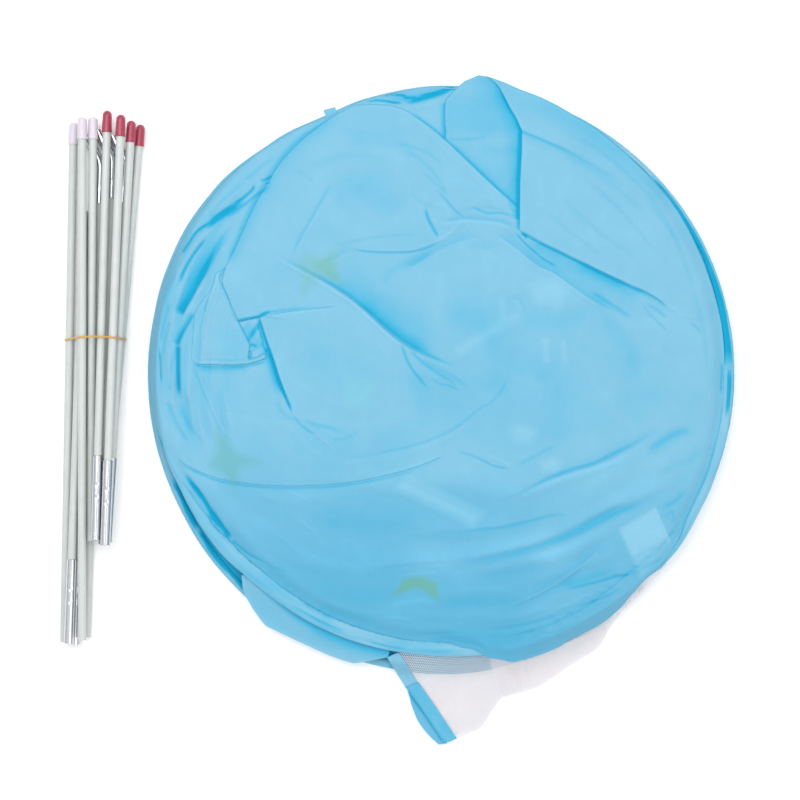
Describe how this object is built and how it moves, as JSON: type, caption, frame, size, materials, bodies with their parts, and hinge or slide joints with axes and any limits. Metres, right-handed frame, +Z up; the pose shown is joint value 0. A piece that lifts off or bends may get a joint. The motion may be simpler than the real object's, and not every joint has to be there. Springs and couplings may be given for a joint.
{
  "type": "packed pop-up play tent with pole bundle",
  "caption": "Twist-folded pop-up play tent of thin light blue cloth with a white mesh window, lying flat beside its banded bundle of fibreglass tent poles.",
  "frame": {"origin": "middle of the kit's outline, on the surface that it lies on", "axes": "+Z up, away from the surface; +X from the pole bundle towards the folded tent; +Y towards the poles' capped ends"},
  "size_m": [0.6448, 0.6334, 0.0389],
  "materials": {
    "tent_cloth": "thin plain-weave polyester, slightly see-through",
    "mesh": "fine white netting",
    "webbing": "woven tape",
    "star_print": "flat printed patch",
    "fibreglass": "pultruded rod with a faint lengthwise grain",
    "white_vinyl": "soft dipped vinyl",
    "red_vinyl": "soft dipped vinyl",
    "plated_steel": "bright zinc or chrome plate",
    "spring_steel": "flat tempered strip",
    "rubber_band": "natural rubber"
  },
  "bodies": {
    "packed_tent": {"floor_panel": "tent_cloth", "lower_hoop_wire": "spring_steel", "lower_hoop_sleeve": "tent_cloth", "lower_wall_panel": "tent_cloth"},
    "white_long_pole_1": {"white_long_pole_1_rod": "fibreglass", "white_long_pole_1_end_cap": "white_vinyl"},
    "white_long_pole_2": {"white_long_pole_2_rod": "fibreglass", "white_long_pole_2_end_cap": "white_vinyl"},
    "white_short_pole": {"white_short_pole_rod": "fibreglass", "white_short_pole_end_cap": "white_vinyl"},
    "red_pole_1": {"red_pole_1_rod": "fibreglass", "red_pole_1_end_cap": "red_vinyl", "red_pole_1_ferrule": "plated_steel"},
    "red_pole_2": {"red_pole_2_rod": "fibreglass", "red_pole_2_end_cap": "red_vinyl", "red_pole_2_ferrule": "plated_steel"},
    "red_pole_3": {"red_pole_3_rod": "fibreglass", "red_pole_3_end_cap": "red_vinyl", "red_pole_3_ferrule": "plated_steel"},
    "red_pole_4": {"red_pole_4_rod": "fibreglass", "red_pole_4_end_cap": "red_vinyl", "red_pole_4_ferrule": "plated_steel"},
    "ferrule_pole_1": {"ferrule_pole_1_rod": "fibreglass", "ferrule_pole_1_ferrule": "plated_steel"},
    "ferrule_pole_2": {"ferrule_pole_2_rod": "fibreglass", "ferrule_pole_2_ferrule": "plated_steel"},
    "pole_bundle": {"rubber_band": "rubber_band", "elbow_pole_1_elbow": "plated_steel", "elbow_pole_1_rod": "fibreglass", "elbow_pole_2_elbow": "plated_steel", "elbow_pole_2_rod": "fibreglass", "elbow_pole_3_elbow": "plated_steel", "elbow_pole_3_rod": "fibreglass"},
    "mesh_window": {"mesh_window_flap": "mesh", "mesh_window_binding": "tent_cloth"},
    "middle_coil": {"middle_hoop_wire": "spring_steel", "middle_hoop_sleeve": "tent_cloth", "middle_wall_panel": "tent_cloth", "wire_joint_tube": "plated_steel", "mesh_window_skirt": "mesh"},
    "top_coil": {"upper_hoop_wire": "spring_steel", "upper_hoop_sleeve": "tent_cloth", "upper_wall_panel": "tent_cloth", "star_patch_upper": "star_print", "star_patch_lower": "star_print", "star_patch_left": "star_print", "strap_patch": "webbing", "hook_loop_patch": "webbing", "rim_pull_tab": "webbing", "lower_wall_fold": "tent_cloth", "roof_fold": "tent_cloth", "left_corner_fold": "tent_cloth", "centre_fold": "tent_cloth", "top_wedge_fold": "tent_cloth", "right_fold": "tent_cloth"}
  },
  "joints": [
    {"name": "bundle_lift", "type": "slide", "parent": "packed_tent", "child": "pole_bundle", "axis": [0, 0, 1], "range_m": [0, 0.15]},
    {"name": "middle_coil_open", "type": "hinge", "parent": "packed_tent", "child": "middle_coil", "pos_m": [0.32314, 0.03806, 0.0107], "axis": [0, 1, 0], "range_deg": [0, 60]},
    {"name": "top_coil_open", "type": "hinge", "parent": "middle_coil", "child": "top_coil", "pos_m": [-0.23286, 0.04365, 0.0209], "axis": [0, -1, 0], "range_deg": [0, 60]},
    {"name": "mesh_window_lift", "type": "hinge", "parent": "middle_coil", "child": "mesh_window", "pos_m": [0.08107, -0.25318, 0.0066], "axis": [-1, 0, 0], "range_deg": [0, 75]},
    {"name": "white_long_pole_1_slide", "type": "slide", "parent": "pole_bundle", "child": "white_long_pole_1", "axis": [0.0179, 0.9998, 0], "range_m": [0, 0.28]},
    {"name": "white_long_pole_2_slide", "type": "slide", "parent": "pole_bundle", "child": "white_long_pole_2", "axis": [0.0004, 1, 0.0002], "range_m": [0, 0.28]},
    {"name": "white_short_pole_slide", "type": "slide", "parent": "pole_bundle", "child": "white_short_pole", "axis": [0.0064, 1, 0.0032], "range_m": [0, 0.18]},
    {"name": "red_pole_1_slide", "type": "slide", "parent": "pole_bundle", "child": "red_pole_1", "axis": [0.0225, 0.9991, -0.0355], "range_m": [0, 0.1]},
    {"name": "red_pole_2_slide", "type": "slide", "parent": "pole_bundle", "child": "red_pole_2", "axis": [0.0335, 0.9991, -0.0269], "range_m": [0, 0.1]},
    {"name": "red_pole_3_slide", "type": "slide", "parent": "pole_bundle", "child": "red_pole_3", "axis": [0.0541, 0.9983, -0.0231], "range_m": [0, 0.1]},
    {"name": "red_pole_4_slide", "type": "slide", "parent": "pole_bundle", "child": "red_pole_4", "axis": [0.086, 0.996, -0.0228], "range_m": [0, 0.1]},
    {"name": "ferrule_pole_1_slide", "type": "slide", "parent": "pole_bundle", "child": "ferrule_pole_1", "axis": [-0.0338, -0.9994, 0.0077], "range_m": [0, 0.11]},
    {"name": "ferrule_pole_2_slide", "type": "slide", "parent": "pole_bundle", "child": "ferrule_pole_2", "axis": [-0.0357, -0.9994, 0], "range_m": [0, 0.11]}
  ]
}
